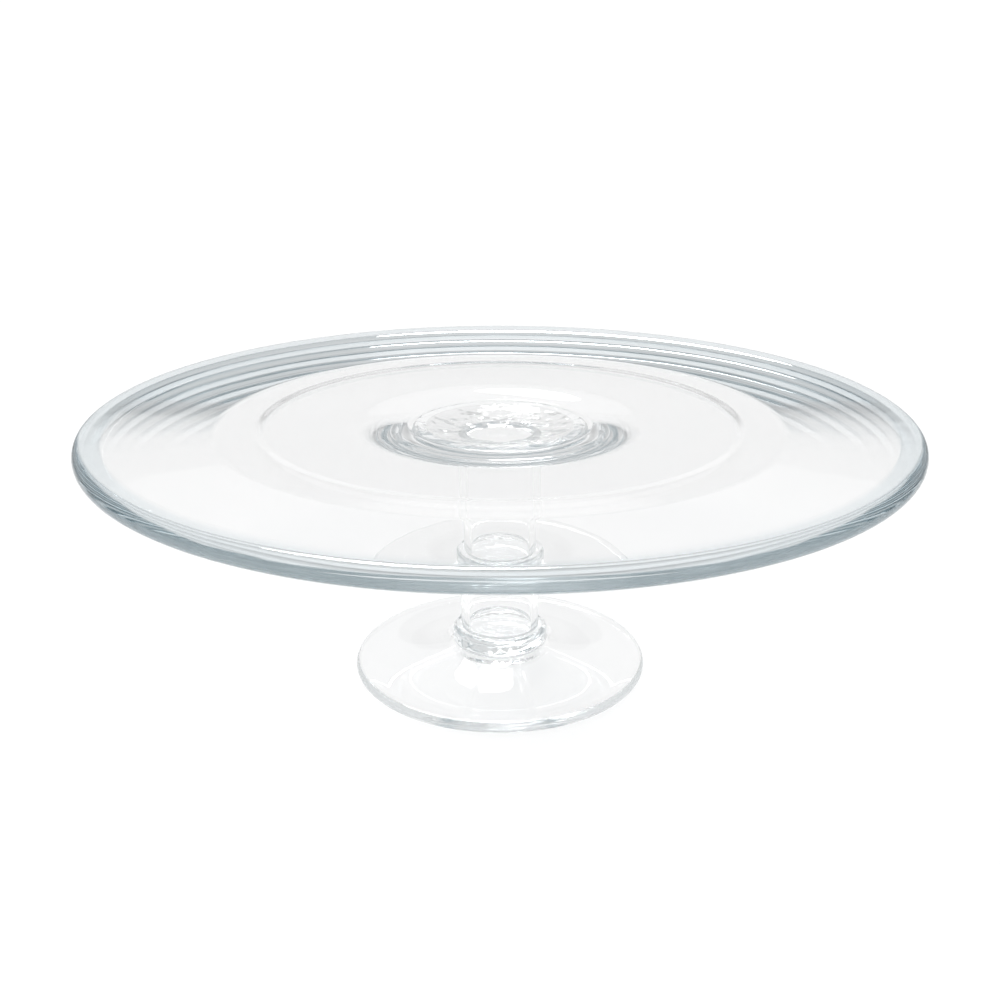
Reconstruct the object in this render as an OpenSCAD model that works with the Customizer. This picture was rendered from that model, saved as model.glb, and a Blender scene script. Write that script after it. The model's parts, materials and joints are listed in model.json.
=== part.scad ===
// Footed glass cake stand: a round plate that rises to a thick rounded rim, on a hollow stem and a round foot.
// Millimetres, +Z up. The origin is the middle of the foot, on the table.

/* [Plate] */
// Width across the plate, outside the rim
plate_d = 320; // [240:5:380]
// Height of the plate's flat floor above the table
floor_z = 106; // [80:1:145]
// Thickness of the plate's glass
plate_t = 4.5; // [3:0.5:7]
// Width of the zone that slopes up from the flat floor to the rim
slope_w = 40; // [20:1:60]
// Width of the flared zone where the upper joint runs out under the plate
boss_d = 116; // [100:2:150]
// Depth of that zone below the plate's underside
boss_h = 4; // [2:0.5:6]

/* [Rim] */
// Thickness of the rounded rim, level with the plate's underside
rim_t = 9; // [7.5:0.5:14]
// Width of the rim, from the plate's edge to the outside
rim_w = 10; // [8:0.5:14]

/* [Stem] */
// Width of the stem where it stands on the lower joint
stem_low_d = 32; // [24:1:40]
// Width of the stem under the plate
stem_top_d = 33; // [24:1:42]
// Thickness of the stem's wall
stem_wall = 3; // [2:0.5:5]

/* [Joints] */
// Width of the upper joint, where it meets the plate
upper_joint_d = 69; // [54:1:84]
// Thickness of the upper joint's rounded edge
upper_edge_t = 2.5; // [1.5:0.25:4]
// Height of the upper joint's flare
upper_joint_h = 9; // [7:0.5:12]
// Thickness of the upper joint's glass, measured along the plate, inside its rounded edge
bell_wall = 4; // [2:0.5:4]
// How far the lower joint stands out past the stem, its rounded edge included
lower_joint_lip = 3.5; // [3:0.25:9]
// Height of the lower joint
lower_joint_h = 8; // [5:0.5:10]
// Radius of the lower joint's rounded edges
lower_round_r = 2.5; // [1:0.25:3]

/* [Foot] */
// Width of the foot
foot_d = 120; // [90:2:160]
// Thickness of the foot's rounded edge
foot_edge_t = 4.5; // [3:0.5:6]
// Height of the foot's middle, where the lower joint stands
foot_h = 10; // [8:0.5:14]
// Thickness of the foot's glass in the middle
foot_t = 5; // [3:0.5:7]
// Width of the flat ring that the foot stands on
rest_w = 8; // [5:0.5:12]

/* [Hidden] */
$fn = 96;
glass = [0.86, 0.90, 0.91, 0.45];
rim_glass = [0.55, 0.62, 0.67, 0.7];
arc_steps = 6;
curve_steps = 8;

// Plate and rim
plate_r = plate_d / 2;
under_z = floor_z - plate_t;
rim_r = rim_t / 2;
rim_top_z = under_z + rim_t;
rim_round_r = plate_r - rim_r;
plate_edge_r = plate_r - rim_w;
floor_r = plate_edge_r - slope_w;
boss_r = boss_d / 2;
boss_z = under_z - boss_h;

// Stem and joints, from the foot up
foot_r = foot_d / 2;
lower_joint_r = stem_low_d / 2 + lower_joint_lip;
// The rounded edges are limited by the joint's own height
lower_round = min(lower_round_r, lower_joint_h / 2 - 0.1);
lower_joint_z = foot_h;
stem_z = lower_joint_z + lower_joint_h;
upper_joint_r = upper_joint_d / 2;
upper_joint_z = boss_z - upper_joint_h;
stem_h = upper_joint_z - stem_z;
seat_gap = 1.5;

// Points along a round corner
function arc(x, z, r, from, to, steps = arc_steps) = [
    for (i = [0 : steps])
        let (a = from + (to - from) * i / steps)
        [x + r * cos(a), z + r * sin(a)]
];

// Points along a sweep that leaves its first point level and reaches its last point at a slope
function sweep_up(x0, z0, x1, z1) = [
    for (i = [0 : curve_steps])
        let (t = i / curve_steps)
        [x0 + (x1 - x0) * t, z0 + (z1 - z0) * t * t]
];

function back_to_front(points) = [for (i = [len(points) - 1 : -1 : 0]) points[i]];

// Height of the plate's top at a radius: flat floor, then a straight slope up to the rim
function top_z(r) = floor_z + (rim_top_z - floor_z) * max(0, r - floor_r) / (rim_round_r - floor_r);

// Glass plate that carries the cake, with a thicker middle underneath
module plate() {
    run_out = sweep_up(boss_r, under_z, upper_joint_r + seat_gap, boss_z);
    color(glass)
        rotate_extrude() polygon(concat(
            [[0, boss_z]],
            back_to_front(run_out),
            [
                [plate_edge_r, under_z],
                [plate_edge_r, top_z(plate_edge_r)],
                [floor_r, floor_z],
                [0, floor_z]
            ]
        ));
}

// Thick rounded rim, fused along the plate's edge
module rim_bead() {
    color(rim_glass)
        rotate_extrude() polygon(concat(
            [[plate_edge_r, under_z]],
            arc(rim_round_r, under_z + rim_r, rim_r, -90, 90, 12),
            [[plate_edge_r, top_z(plate_edge_r)]]
        ));
}

// Hollow flared joint that fuses the stem to the plate
module upper_joint() {
    edge_r = upper_edge_t / 2;
    edge_z = boss_z - edge_r;
    flare_z = upper_joint_z + upper_joint_h * 0.35;
    stem_in_r = stem_top_d / 2 - stem_wall;
    outside = sweep_up(stem_top_d / 2, flare_z, upper_joint_r - edge_r, boss_z - upper_edge_t);
    bell_z = (flare_z + boss_z) / 2;
    inside = sweep_up(stem_in_r, bell_z, upper_joint_r - edge_r - bell_wall, boss_z);
    color(glass)
        rotate_extrude() polygon(concat(
            [[stem_in_r, upper_joint_z], [stem_top_d / 2, upper_joint_z]],
            outside,
            arc(upper_joint_r - edge_r, edge_z, edge_r, -75, 90),
            back_to_front(inside)
        ));
}

// Hollow blown stem, closed at both ends by the joints
module stem() {
    color(glass)
        rotate_extrude() polygon([
            [stem_low_d / 2 - stem_wall, stem_z],
            [stem_low_d / 2, stem_z],
            [stem_top_d / 2, stem_z + stem_h],
            [stem_top_d / 2 - stem_wall, stem_z + stem_h]
        ]);
}

// Round collar that fuses the stem to the foot
module lower_joint() {
    round_x = lower_joint_r - lower_round;
    color(glass)
        rotate_extrude() polygon(concat(
            [[0, lower_joint_z]],
            arc(round_x, lower_joint_z + lower_round, lower_round, -90, 0),
            arc(round_x, stem_z - lower_round, lower_round, 0, 90),
            [[0, stem_z]]
        ));
}

// Round foot, slightly domed, hollow underneath inside a flat rest ring
module foot() {
    edge_r = foot_edge_t / 2;
    rest_r = foot_r - edge_r - rest_w;
    color(glass)
        rotate_extrude() polygon(concat(
            [[0, foot_h - foot_t]],
            back_to_front(sweep_up(rest_r, 0, lower_joint_r, foot_h - foot_t)),
            arc(foot_r - edge_r, edge_r, edge_r, -90, 80),
            sweep_up(foot_r - foot_edge_t, foot_edge_t, lower_joint_r, foot_h),
            [[0, foot_h]]
        ));
}

plate();
rim_bead();
upper_joint();
stem();
lower_joint();
foot();
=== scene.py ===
import json
import math

import bpy
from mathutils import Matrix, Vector


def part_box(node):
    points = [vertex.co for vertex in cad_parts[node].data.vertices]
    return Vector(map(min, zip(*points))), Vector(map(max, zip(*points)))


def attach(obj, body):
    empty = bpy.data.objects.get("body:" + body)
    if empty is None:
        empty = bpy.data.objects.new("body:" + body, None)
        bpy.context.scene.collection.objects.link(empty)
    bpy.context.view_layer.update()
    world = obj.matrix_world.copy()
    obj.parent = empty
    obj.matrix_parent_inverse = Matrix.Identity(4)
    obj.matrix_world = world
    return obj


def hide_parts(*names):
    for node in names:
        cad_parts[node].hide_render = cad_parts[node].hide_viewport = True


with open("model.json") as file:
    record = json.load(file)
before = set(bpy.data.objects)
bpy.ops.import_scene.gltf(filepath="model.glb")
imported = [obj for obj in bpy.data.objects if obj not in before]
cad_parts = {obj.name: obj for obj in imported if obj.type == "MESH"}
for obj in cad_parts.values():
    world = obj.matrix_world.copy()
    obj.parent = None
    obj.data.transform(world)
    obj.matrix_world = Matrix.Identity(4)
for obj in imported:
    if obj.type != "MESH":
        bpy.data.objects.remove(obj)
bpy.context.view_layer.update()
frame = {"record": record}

scene = bpy.context.scene
MM = 0.001


# ---------------------------------------------------------------- sizes, from the frame

def span(node):
    low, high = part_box(node)
    return Vector(low), Vector(high)


mounts = {m["name"]: m for m in frame["record"]["mounts"]}
rim_low, rim_high = span("rim_bead")
plate_low, plate_high = span("plate")
upper_low, upper_high = span("upper_joint")
stem_low, stem_high = span("stem")
lower_low, lower_high = span("lower_joint")
foot_high = span("foot")[1]

SKIN = 0.35 * MM  # kept inside the solids, so that the waves of hand-made glass fit too
HAIR = 0.02 * MM  # between joined faces, so that light leaves one piece before it enters the next

floor_z = mounts["cake_rest"]["pos_m"][2]
under_z = rim_low.z
rim_r = (rim_high.z - rim_low.z) / 2
rim_mid_z = (rim_high.z + rim_low.z) / 2
rim_round_r = rim_high.x - rim_r
plate_edge_r = plate_high.x
slope_w = 40 * MM
floor_r = plate_edge_r - slope_w
boss_z = plate_low.z
boss_r = 58 * MM
seat_gap = 1.5 * MM

joint_edge_t = 2.5 * MM
bell_wall = 4 * MM
straight_share = 0.35  # of the upper joint's height, before it flares
upper_joint_r = upper_high.x
flare_z = upper_low.z + straight_share * (upper_high.z - upper_low.z)

lower_joint_r = lower_high.x
lower_joint_lip = 3.5 * MM
lower_round_r = 2.5 * MM

stem_wall = 3 * MM
stem_low_r = lower_joint_r - lower_joint_lip
stem_top_r = stem_high.x
stem_low_in_r = stem_low_r - stem_wall
stem_top_in_r = stem_top_r - stem_wall

foot_r = foot_high.x
foot_edge_t = 4.5 * MM
foot_t = 5 * MM
rest_w = 8 * MM

# The maker's spinning leaves one low ring in the floor of the plate
ring_in_r, ring_top_r, ring_h = 91 * MM, 95 * MM, 0.4 * MM


# ---------------------------------------------------------------- sections of the turned pieces
# A section is a list of stretches, each a list of (radius, height) points with a true or false
# after it: true where the stretch lies against another piece and is fused to it. The last number
# in each call is how many steps the stretch is cut into.

def line(start, end, steps):
    return [
        (start[0] + (end[0] - start[0]) * i / steps, start[1] + (end[1] - start[1]) * i / steps)
        for i in range(steps + 1)
    ]


def arc(centre, radius, start, end, steps):
    points = []
    for i in range(steps + 1):
        a = math.radians(start + (end - start) * i / steps)
        points.append((centre[0] + radius * math.cos(a), centre[1] + radius * math.sin(a)))
    return points


def sweep_up(start, end, steps):
    """Leaves start level and reaches end at a slope."""
    points = []
    for i in range(steps + 1):
        t = i / steps
        points.append((start[0] + (end[0] - start[0]) * t, start[1] + (end[1] - start[1]) * t**2))
    return points


def top_height(r):
    """Height of the plate's top: flat floor, one low ring, then a straight slope up to the rim."""
    if r <= ring_in_r:
        return floor_z
    if r <= ring_top_r:
        t = (r - ring_in_r) / (ring_top_r - ring_in_r)
        return floor_z + ring_h * t * t * (3 - 2 * t)
    if r <= floor_r:
        t = (r - ring_top_r) / (floor_r - ring_top_r)
        return floor_z + ring_h * (1 - t)
    return floor_z + (rim_high.z - floor_z - SKIN) * (r - floor_r) / (rim_round_r - floor_r)


def top_face(start, end, steps):
    radii = [start + (end - start) * i / steps for i in range(steps + 1)]
    return [(r, top_height(r)) for r in radii]


upper_seat_r = upper_joint_r - joint_edge_t / 2
bell_r = upper_seat_r - bell_wall
run_out_r = upper_joint_r + seat_gap
plate_section = [
    (line((0, boss_z), (bell_r, boss_z), 12), False),
    (line((bell_r, boss_z), (upper_seat_r, boss_z), 3), True),
    (line((upper_seat_r, boss_z), (run_out_r, boss_z), 2), False),
    (sweep_up((boss_r, under_z + SKIN), (run_out_r, boss_z), 30)[::-1], False),
    (line((boss_r, under_z + SKIN), (plate_edge_r, under_z + SKIN), 60), False),
    (line((plate_edge_r, under_z + SKIN), (plate_edge_r, top_height(plate_edge_r)), 6), True),
    (top_face(plate_edge_r, floor_r, 30), False),
    (top_face(floor_r, ring_top_r, 16), False),
    (top_face(ring_top_r, ring_in_r, 12), False),
    (top_face(ring_in_r, 0, 50), False),
]

rim_edge_r = plate_edge_r + HAIR
rim_section = [
    (line((rim_edge_r, under_z + SKIN), (rim_round_r, under_z + SKIN), 8), False),
    (arc((rim_round_r, rim_mid_z), rim_r - SKIN, -90, 90, 48), False),
    (top_face(rim_round_r, rim_edge_r, 8), False),
    (line((rim_edge_r, top_height(rim_edge_r)), (rim_edge_r, under_z + SKIN), 6), True),
]

joint_top_z = boss_z - HAIR
upper_edge = (upper_seat_r, joint_top_z - joint_edge_t / 2)
bell_low_z = (flare_z + joint_top_z) / 2
upper_section = [
    (line((stem_top_in_r, upper_low.z), (stem_top_r, upper_low.z), 2), True),
    (line((stem_top_r, upper_low.z), (stem_top_r, flare_z), 4), False),
    (sweep_up((stem_top_r, flare_z), (upper_seat_r, joint_top_z - joint_edge_t), 24), False),
    (arc(upper_edge, joint_edge_t / 2, -90, 90, 16), False),
    (line((upper_seat_r, joint_top_z), (bell_r, joint_top_z), 3), True),
    (sweep_up((stem_top_in_r, bell_low_z), (bell_r, joint_top_z), 24)[::-1], False),
    (line((stem_top_in_r, bell_low_z), (stem_top_in_r, upper_low.z), 6), False),
]

stem_foot_z = stem_low.z + HAIR
stem_head_z = stem_high.z - HAIR
stem_section = [
    (line((stem_top_in_r, stem_head_z), (stem_low_in_r, stem_foot_z), 48), False),
    (line((stem_low_in_r, stem_foot_z), (stem_low_r, stem_foot_z), 2), True),
    (line((stem_low_r, stem_foot_z), (stem_top_r, stem_head_z), 48), False),
    (line((stem_top_r, stem_head_z), (stem_top_in_r, stem_head_z), 2), True),
]

lower_round_x = lower_joint_r - lower_round_r
lower_foot_z = lower_low.z + HAIR
lower_section = [
    (line((0, lower_foot_z), (lower_round_x, lower_foot_z), 8), True),
    (arc((lower_round_x, lower_foot_z + lower_round_r), lower_round_r, -90, 0, 12), False),
    (arc((lower_round_x, lower_high.z - lower_round_r), lower_round_r, 0, 90, 12), False),
    (line((lower_round_x, lower_high.z), (stem_low_r, lower_high.z), 1), False),
    (line((stem_low_r, lower_high.z), (stem_low_in_r, lower_high.z), 2), True),
    (line((stem_low_in_r, lower_high.z), (0, lower_high.z), 8), False),
]

foot_edge_r = foot_edge_t / 2
rest_r = foot_r - foot_edge_r - rest_w
hollow_z = foot_high.z - foot_t
foot_section = [
    (line((0, hollow_z), (lower_joint_r, hollow_z), 8), False),
    (sweep_up((rest_r, 0), (lower_joint_r, hollow_z), 24)[::-1], False),
    (line((rest_r, 0), (foot_r - foot_edge_r, 0), 3), False),
    (arc((foot_r - foot_edge_r, foot_edge_r), foot_edge_r, -90, 80, 20), False),
    (sweep_up((foot_r - foot_edge_t, foot_edge_t), (lower_joint_r, foot_high.z), 24), False),
    (line((lower_joint_r, foot_high.z), (lower_round_x, foot_high.z), 1), False),
    (line((lower_round_x, foot_high.z), (0, foot_high.z), 8), True),
]


# ---------------------------------------------------------------- glass

GLASS_IOR = 1.5
SKIN_BUMP = 1 * MM  # height of the skin's waves at full strength
LAMP_THROUGH = 0.975  # share of lamp light that each face of glass lets through

CLEAR_TINT = (0.80, 0.84, 0.85, 1)
THICK_TINT = (0.78, 0.84, 0.865, 1)
WHITE = (1, 1, 1, 1)


def grey(value):
    return (value, value, value, 1)


def new_material(name):
    material = bpy.data.materials.new(name)
    material.use_nodes = True
    material.node_tree.nodes.clear()
    return material, material.node_tree.nodes, material.node_tree.links


def absorption(nodes, links, output, colour, density):
    volume = nodes.new("ShaderNodeVolumeAbsorption")
    volume.inputs["Color"].default_value = colour
    volume.inputs["Density"].default_value = density
    links.new(volume.outputs[0], output.inputs["Volume"])


def glass_material(name, tint, density, wave_size, wave_strength):
    """Clear glass. Lamp light goes straight through it, and its skin has faint waves.

    Faces marked "joined" lie between two pieces fused hot, and light crosses them unbent. They share
    the piece's own material, because a volume must be entered and left through the same shader.
    """
    material, nodes, links = new_material(name)
    output = nodes.new("ShaderNodeOutputMaterial")
    glass = nodes.new("ShaderNodeBsdfPrincipled")
    glass.inputs["Base Color"].default_value = WHITE
    glass.inputs["Transmission Weight"].default_value = 1.0
    glass.inputs["Roughness"].default_value = 0.0
    glass.inputs["IOR"].default_value = GLASS_IOR
    place = nodes.new("ShaderNodeTexCoord")
    waves = nodes.new("ShaderNodeTexNoise")
    waves.inputs["Scale"].default_value = 1 / wave_size
    waves.inputs["Detail"].default_value = 1.5
    links.new(place.outputs["Object"], waves.inputs["Vector"])
    bump = nodes.new("ShaderNodeBump")
    bump.inputs["Strength"].default_value = wave_strength
    bump.inputs["Distance"].default_value = SKIN_BUMP
    links.new(waves.outputs["Fac"], bump.inputs["Height"])
    links.new(bump.outputs["Normal"], glass.inputs["Normal"])

    path = nodes.new("ShaderNodeLightPath")
    clear = nodes.new("ShaderNodeBsdfTransparent")
    clear.inputs["Color"].default_value = WHITE
    for_light = nodes.new("ShaderNodeBsdfTransparent")
    for_light.inputs["Color"].default_value = grey(LAMP_THROUGH)
    joined = nodes.new("ShaderNodeAttribute")
    joined.attribute_name = "joined"
    skin = nodes.new("ShaderNodeMixShader")
    links.new(joined.outputs["Fac"], skin.inputs[0])
    links.new(glass.outputs[0], skin.inputs[1])
    links.new(clear.outputs[0], skin.inputs[2])
    for_diffuse = nodes.new("ShaderNodeMixShader")
    links.new(path.outputs["Is Diffuse Ray"], for_diffuse.inputs[0])
    links.new(skin.outputs[0], for_diffuse.inputs[1])
    links.new(clear.outputs[0], for_diffuse.inputs[2])
    for_lamps = nodes.new("ShaderNodeMixShader")
    links.new(path.outputs["Is Shadow Ray"], for_lamps.inputs[0])
    links.new(for_diffuse.outputs[0], for_lamps.inputs[1])
    links.new(for_light.outputs[0], for_lamps.inputs[2])
    links.new(for_lamps.outputs[0], output.inputs["Surface"])
    absorption(nodes, links, output, tint, density)
    return material


# Name, tint, how fast the tint deepens with depth, and the size and strength of the skin's waves
clear_glass = glass_material("clear_glass", CLEAR_TINT, 4.5, 45 * MM, 0.10)
rim_glass = glass_material("rim_glass", THICK_TINT, 75.0, 30 * MM, 0.15)
joint_glass = glass_material("joint_glass", THICK_TINT, 14.0, 6 * MM, 0.4)


# ---------------------------------------------------------------- turning a section into a piece

MERGE_GAP = 0.002 * MM
STILL_H = 12 * MM  # the waves grow from nothing at the table to their full height here
RIPPLE_SEED_STEP = 7


def turned_tree():
    """Geometry Nodes that turn a section about the upright axis and give it hand-made waves."""
    tree = bpy.data.node_groups.new("turned_glass", "GeometryNodeTree")
    face = tree.interface
    face.new_socket("Section", in_out="INPUT", socket_type="NodeSocketGeometry")
    for name, kind, value in (
        ("Steps Around", "NodeSocketInt", 192),
        ("Wave Height", "NodeSocketFloat", 0.2 * MM),
        ("Wave Size", "NodeSocketFloat", 70 * MM),
        ("Ripple Height", "NodeSocketFloat", 0.0),
        ("Ripple Size", "NodeSocketFloat", 7 * MM),
        ("Seed", "NodeSocketFloat", 3.0),
        ("Crease Angle", "NodeSocketFloat", math.radians(28)),
    ):
        face.new_socket(name, in_out="INPUT", socket_type=kind).default_value = value
    face.new_socket("Glass", in_out="INPUT", socket_type="NodeSocketMaterial")
    face.new_socket("Piece", in_out="OUTPUT", socket_type="NodeSocketGeometry")

    nodes, links = tree.nodes, tree.links
    given = nodes.new("NodeGroupInput")
    result = nodes.new("NodeGroupOutput")

    def put(value, socket):
        if isinstance(value, bpy.types.NodeSocket):
            links.new(value, socket)
        else:
            socket.default_value = value

    def sums(operation, a, b=0.0):
        node = nodes.new("ShaderNodeMath")
        node.operation = operation
        put(a, node.inputs[0])
        put(b, node.inputs[1])
        return node.outputs[0]

    def vectors(operation, a, b=(0, 0, 0), scale=None):
        node = nodes.new("ShaderNodeVectorMath")
        node.operation = operation
        put(a, node.inputs[0])
        put(b, node.inputs[1])
        if scale is not None:
            put(scale, node.inputs["Scale"])
        return node.outputs[0]

    def sample(kind, domain, value, index):
        node = nodes.new("GeometryNodeSampleIndex")
        node.data_type = kind
        node.domain = domain
        links.new(given.outputs["Section"], node.inputs["Geometry"])
        put(value, node.inputs["Value"])
        put(index, node.inputs["Index"])
        return node.outputs[0]

    def attribute(name, kind):
        node = nodes.new("GeometryNodeInputNamedAttribute")
        node.data_type = kind
        node.inputs["Name"].default_value = name
        return node.outputs["Attribute"]

    size = nodes.new("GeometryNodeAttributeDomainSize")
    size.component = "MESH"
    links.new(given.outputs["Section"], size.inputs["Geometry"])
    section_points = size.outputs["Point Count"]
    section_edges = size.outputs["Edge Count"]
    around = given.outputs["Steps Around"]

    grid = nodes.new("GeometryNodeMeshGrid")
    put(sums("ADD", around, 1), grid.inputs["Vertices X"])
    put(section_points, grid.inputs["Vertices Y"])

    index = nodes.new("GeometryNodeInputIndex").outputs[0]
    step = sums("FLOOR", sums("DIVIDE", sums("ADD", index, 0.5), section_points))
    along = sums("SUBTRACT", index, sums("MULTIPLY", step, section_points))
    position = nodes.new("GeometryNodeInputPosition").outputs[0]
    turn = nodes.new("ShaderNodeVectorRotate")
    turn.rotation_type = "Z_AXIS"
    put(sample("FLOAT_VECTOR", "POINT", position, along), turn.inputs["Vector"])
    put(sums("MULTIPLY", sums("DIVIDE", step, around), math.tau), turn.inputs["Angle"])
    turned = nodes.new("GeometryNodeSetPosition")
    links.new(grid.outputs["Mesh"], turned.inputs["Geometry"])
    put(turn.outputs[0], turned.inputs["Position"])

    keep = nodes.new("GeometryNodeStoreNamedAttribute")
    keep.data_type = "FLOAT"
    keep.domain = "POINT"
    keep.inputs["Name"].default_value = "free"
    links.new(turned.outputs[0], keep.inputs["Geometry"])
    put(sample("FLOAT", "POINT", attribute("free", "FLOAT"), along), keep.inputs["Value"])

    face_row = sums("FLOOR", sums("DIVIDE", sums("ADD", index, 0.5), section_edges))
    face_along = sums("SUBTRACT", index, sums("MULTIPLY", face_row, section_edges))
    joined = nodes.new("GeometryNodeStoreNamedAttribute")
    joined.data_type = "FLOAT"
    joined.domain = "FACE"
    joined.inputs["Name"].default_value = "joined"
    links.new(keep.outputs[0], joined.inputs["Geometry"])
    put(sample("FLOAT", "EDGE", attribute("fused", "FLOAT"), face_along), joined.inputs["Value"])

    merged = nodes.new("GeometryNodeMergeByDistance")
    merged.inputs["Distance"].default_value = MERGE_GAP
    links.new(joined.outputs[0], merged.inputs["Geometry"])

    def noise(size_socket, seed):
        node = nodes.new("ShaderNodeTexNoise")
        node.noise_dimensions = "4D"
        node.inputs["Detail"].default_value = 1.0
        put(position, node.inputs["Vector"])
        put(seed, node.inputs["W"])
        put(sums("DIVIDE", 1.0, size_socket), node.inputs["Scale"])
        return vectors("SUBTRACT", node.outputs["Color"], (0.5, 0.5, 0.5))

    height = nodes.new("ShaderNodeSeparateXYZ")
    put(position, height.inputs[0])
    above_table = nodes.new("ShaderNodeMapRange")
    above_table.interpolation_type = "SMOOTHSTEP"
    put(height.outputs["Z"], above_table.inputs["Value"])
    above_table.inputs["From Max"].default_value = STILL_H
    waves = vectors("SCALE", noise(given.outputs["Wave Size"], given.outputs["Seed"]),
                    scale=sums("MULTIPLY", given.outputs["Wave Height"], above_table.outputs[0]))
    ripple_seed = sums("ADD", given.outputs["Seed"], RIPPLE_SEED_STEP)
    ripples = vectors("SCALE", noise(given.outputs["Ripple Size"], ripple_seed),
                      scale=sums("MULTIPLY", given.outputs["Ripple Height"], attribute("free", "FLOAT")))
    wavy = nodes.new("GeometryNodeSetPosition")
    links.new(merged.outputs[0], wavy.inputs["Geometry"])
    put(vectors("ADD", waves, ripples), wavy.inputs["Offset"])

    smooth = nodes.new("GeometryNodeSetShadeSmooth")
    links.new(wavy.outputs[0], smooth.inputs["Geometry"])
    angle = nodes.new("GeometryNodeInputMeshEdgeAngle")
    crease = nodes.new("GeometryNodeSetShadeSmooth")
    crease.domain = "EDGE"
    links.new(smooth.outputs[0], crease.inputs["Geometry"])
    is_crease = sums("GREATER_THAN", angle.outputs["Unsigned Angle"], given.outputs["Crease Angle"])
    put(is_crease, crease.inputs["Selection"])
    crease.inputs["Shade Smooth"].default_value = False

    real = nodes.new("GeometryNodeRealizeInstances")
    links.new(crease.outputs[0], real.inputs["Geometry"])
    all_glass = nodes.new("GeometryNodeSetMaterial")
    links.new(real.outputs[0], all_glass.inputs["Geometry"])
    links.new(given.outputs["Glass"], all_glass.inputs["Material"])
    links.new(all_glass.outputs[0], result.inputs["Piece"])
    return tree


TURNED = turned_tree()


def section_mesh(name, section):
    """The section as a chain of edges. The ripples leave the points of a fused stretch still."""
    points, fused = [], []
    for stretch, is_fused in section:
        points += stretch if not points else stretch[1:]
        fused += [is_fused] * (len(stretch) - 1)
    mesh = bpy.data.meshes.new(name)
    mesh.from_pydata([(r, 0, z) for r, z in points], [(i, i + 1) for i in range(len(points) - 1)], [])
    mesh.attributes.new("fused", "FLOAT", "EDGE").data.foreach_set("value", [float(f) for f in fused])
    free = []
    for i in range(len(points)):
        beside = fused[max(0, i - 1): i + 1]
        free.append(0.0 if any(beside) else 1.0)
    mesh.attributes.new("free", "FLOAT", "POINT").data.foreach_set("value", free)
    return mesh


def turned_piece(name, node, section, material, material_slot, **values):
    holder = bpy.data.objects.new(name + "_section", section_mesh(name + "_section", section))
    scene.collection.objects.link(holder)
    modifier = holder.modifiers.new("turn", "NODES")
    modifier.node_group = TURNED
    sockets = {s.name: s.identifier for s in TURNED.interface.items_tree if s.in_out == "INPUT"}
    values = {"Glass": material, **values}
    for key, value in values.items():
        modifier[sockets[key]] = value
    shape = holder.evaluated_get(bpy.context.evaluated_depsgraph_get())
    mesh = bpy.data.meshes.new_from_object(shape)
    bpy.data.objects.remove(holder)
    mesh.name = name
    piece = bpy.data.objects.new(name, mesh)
    scene.collection.objects.link(piece)
    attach(piece, "root")
    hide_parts(node)


WIDE = {"Steps Around": 256}
BOLD_RIPPLES = {"Ripple Height": 0.9 * MM, "Ripple Size": 6 * MM}
FINE_RIPPLES = {"Ripple Height": 0.5 * MM, "Ripple Size": 5 * MM}

turned_piece("plate_disc", "plate", plate_section, clear_glass, "clear_glass", **WIDE)
turned_piece("rounded_rim", "rim_bead", rim_section, rim_glass, "rim_glass", **WIDE)
turned_piece("joint_under_plate", "upper_joint", upper_section, joint_glass, "joint_glass", **BOLD_RIPPLES)
turned_piece("stem_tube", "stem", stem_section, clear_glass, "clear_glass")
turned_piece("joint_on_foot", "lower_joint", lower_section, joint_glass, "joint_glass", **FINE_RIPPLES)
turned_piece("round_foot", "foot", foot_section, clear_glass, "clear_glass")


# ---------------------------------------------------------------- floor, light and camera

FLOOR_HALF = 6.0
FLOOR_GAP = 0.3 * MM  # under the foot, so that the floor's face and the foot's never tie
# Painted pool of light: through glass, the paper's colour is painted light near the stand and painted shade
# farther out
FLOOR_LIT, FLOOR_DIM = 0.9, 0.42
FLOOR_LIT_R, FLOOR_DIM_R = 0.40, 1.0

# The room that the glass sees: degrees above the horizon, and brightness
PAPER_FADE = (11, 22)
PAPER_LOW, PAPER_HIGH = 0.76, 0.50
WALL_EDGE = (22.2, 23.2)
WALL = 0.78
ROOM = (0.42, 0.425, 0.43, 1)
BACKDROP_TURN = (-0.25, 0.35)  # forward part of a direction, where the room gives way to the backdrop
BACKDROP_TO_EYE = 1.05

GLASS_BOUNCES = 96
LENS, SENSOR = 43.4, 36
CAMERA_PLACE = (0, -0.455, 0.2388)
CAMERA_TILT_DOWN = 20.12


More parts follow.
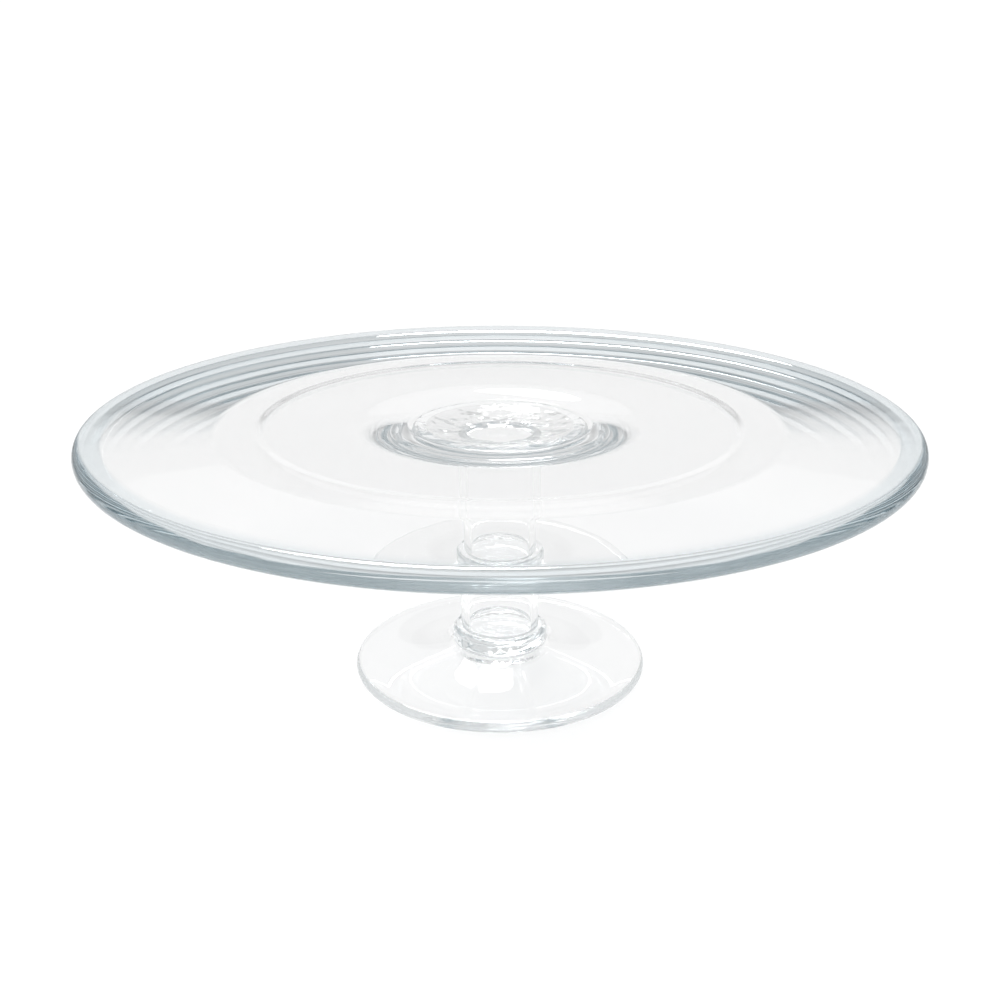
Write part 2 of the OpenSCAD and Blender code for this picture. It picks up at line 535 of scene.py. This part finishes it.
def pale_floor():
    """Evenly white to the eye. Through glass, the paper's colour carries a painted pool of light round the
    stand and painted shade away from it.
    """
    mesh = bpy.data.meshes.new("studio_floor")
    corners = [(x * FLOOR_HALF, y * FLOOR_HALF, -FLOOR_GAP) for x, y in ((-1, -1), (1, -1), (1, 1), (-1, 1))]
    mesh.from_pydata(corners, [], [(0, 1, 2, 3)])
    material, nodes, links = new_material("pale_floor")
    output = nodes.new("ShaderNodeOutputMaterial")
    place = nodes.new("ShaderNodeTexCoord")
    distance = nodes.new("ShaderNodeVectorMath")
    distance.operation = "LENGTH"
    links.new(place.outputs["Object"], distance.inputs[0])
    away = nodes.new("ShaderNodeMapRange")
    away.interpolation_type = "SMOOTHSTEP"
    away.inputs["From Min"].default_value = FLOOR_LIT_R
    away.inputs["From Max"].default_value = FLOOR_DIM_R
    links.new(distance.outputs["Value"], away.inputs["Value"])
    # Lit and dim copies of the paper, mixed by distance: a painted pool of light with painted shade beyond
    # it
    lit = nodes.new("ShaderNodeBsdfDiffuse")
    lit.inputs["Color"].default_value = grey(FLOOR_LIT)
    dim = nodes.new("ShaderNodeBsdfDiffuse")
    dim.inputs["Color"].default_value = grey(FLOOR_DIM)
    seen_by_glass = nodes.new("ShaderNodeMixShader")
    links.new(away.outputs[0], seen_by_glass.inputs[0])
    links.new(lit.outputs[0], seen_by_glass.inputs[1])
    links.new(dim.outputs[0], seen_by_glass.inputs[2])
    path = nodes.new("ShaderNodeLightPath")
    mix = nodes.new("ShaderNodeMixShader")
    links.new(path.outputs["Is Camera Ray"], mix.inputs[0])
    links.new(seen_by_glass.outputs[0], mix.inputs[1])
    links.new(lit.outputs[0], mix.inputs[2])
    links.new(mix.outputs[0], output.inputs["Surface"])
    mesh.materials.append(material)
    floor = bpy.data.objects.new("studio_floor", mesh)
    scene.collection.objects.link(floor)


def studio_world():
    """White to the eye. Glass sees paper behind the table, a pale wall above it and a dim room around."""
    world = bpy.data.worlds.new("studio")
    scene.world = world
    world.use_nodes = True
    nodes, links = world.node_tree.nodes, world.node_tree.links
    nodes.clear()
    output = nodes.new("ShaderNodeOutputWorld")
    place = nodes.new("ShaderNodeTexCoord")
    axes = nodes.new("ShaderNodeSeparateXYZ")
    links.new(place.outputs["Generated"], axes.inputs[0])

    def fade(socket, start, end):
        node = nodes.new("ShaderNodeMapRange")
        node.interpolation_type = "SMOOTHSTEP"
        node.inputs["From Min"].default_value = start
        node.inputs["From Max"].default_value = end
        links.new(socket, node.inputs["Value"])
        return node.outputs[0]

    def blend(factor, a, b):
        node = nodes.new("ShaderNodeMix")
        node.data_type = "RGBA"
        links.new(factor, node.inputs["Factor"])
        for value, socket in ((a, node.inputs["A"]), (b, node.inputs["B"])):
            if isinstance(value, bpy.types.NodeSocket):
                links.new(value, socket)
            else:
                socket.default_value = value
        return node.outputs["Result"]

    def rise(degrees):
        low, high = degrees
        return fade(axes.outputs["Z"], math.sin(math.radians(low)), math.sin(math.radians(high)))

    paper = blend(rise(PAPER_FADE), grey(PAPER_LOW), grey(PAPER_HIGH))
    backdrop = blend(rise(WALL_EDGE), paper, grey(WALL))
    behind = fade(axes.outputs["Y"], *BACKDROP_TURN)
    seen_by_glass = nodes.new("ShaderNodeBackground")
    links.new(blend(behind, ROOM, backdrop), seen_by_glass.inputs["Color"])
    seen_by_eye = nodes.new("ShaderNodeBackground")
    seen_by_eye.inputs["Color"].default_value = WHITE
    seen_by_eye.inputs["Strength"].default_value = BACKDROP_TO_EYE
    path = nodes.new("ShaderNodeLightPath")
    mix = nodes.new("ShaderNodeMixShader")
    links.new(path.outputs["Is Camera Ray"], mix.inputs[0])
    links.new(seen_by_glass.outputs[0], mix.inputs[1])
    links.new(seen_by_eye.outputs[0], mix.inputs[2])
    links.new(mix.outputs[0], output.inputs["Surface"])


def soft_sun(name, strength, width, azimuth, elevation):
    """A lamp far away. Its width and its place are in degrees, the azimuth from +Y towards +X."""
    light = bpy.data.lights.new(name, "SUN")
    light.energy = strength
    light.angle = math.radians(width)
    lamp = bpy.data.objects.new(name, light)
    a, e = math.radians(azimuth), math.radians(elevation)
    towards = Vector((math.sin(a) * math.cos(e), math.cos(a) * math.cos(e), math.sin(e)))
    lamp.rotation_euler = towards.to_track_quat("Z", "Y").to_euler()
    scene.collection.objects.link(lamp)


pale_floor()
studio_world()
soft_sun("overhead_softbox", strength=2.15, width=30, azimuth=-20, elevation=62)

camera_data = bpy.data.cameras.new("camera")
camera_data.lens = LENS
camera_data.sensor_width = SENSOR
camera = bpy.data.objects.new("camera", camera_data)
camera.location = CAMERA_PLACE
camera.rotation_euler = (math.radians(90 - CAMERA_TILT_DOWN), 0, 0)
scene.collection.objects.link(camera)
scene.camera = camera

scene.view_settings.view_transform = "Standard"
scene.cycles.max_bounces = GLASS_BOUNCES
scene.cycles.transmission_bounces = GLASS_BOUNCES
scene.cycles.glossy_bounces = GLASS_BOUNCES
scene.cycles.transparent_max_bounces = GLASS_BOUNCES
scene.cycles.use_denoising = True
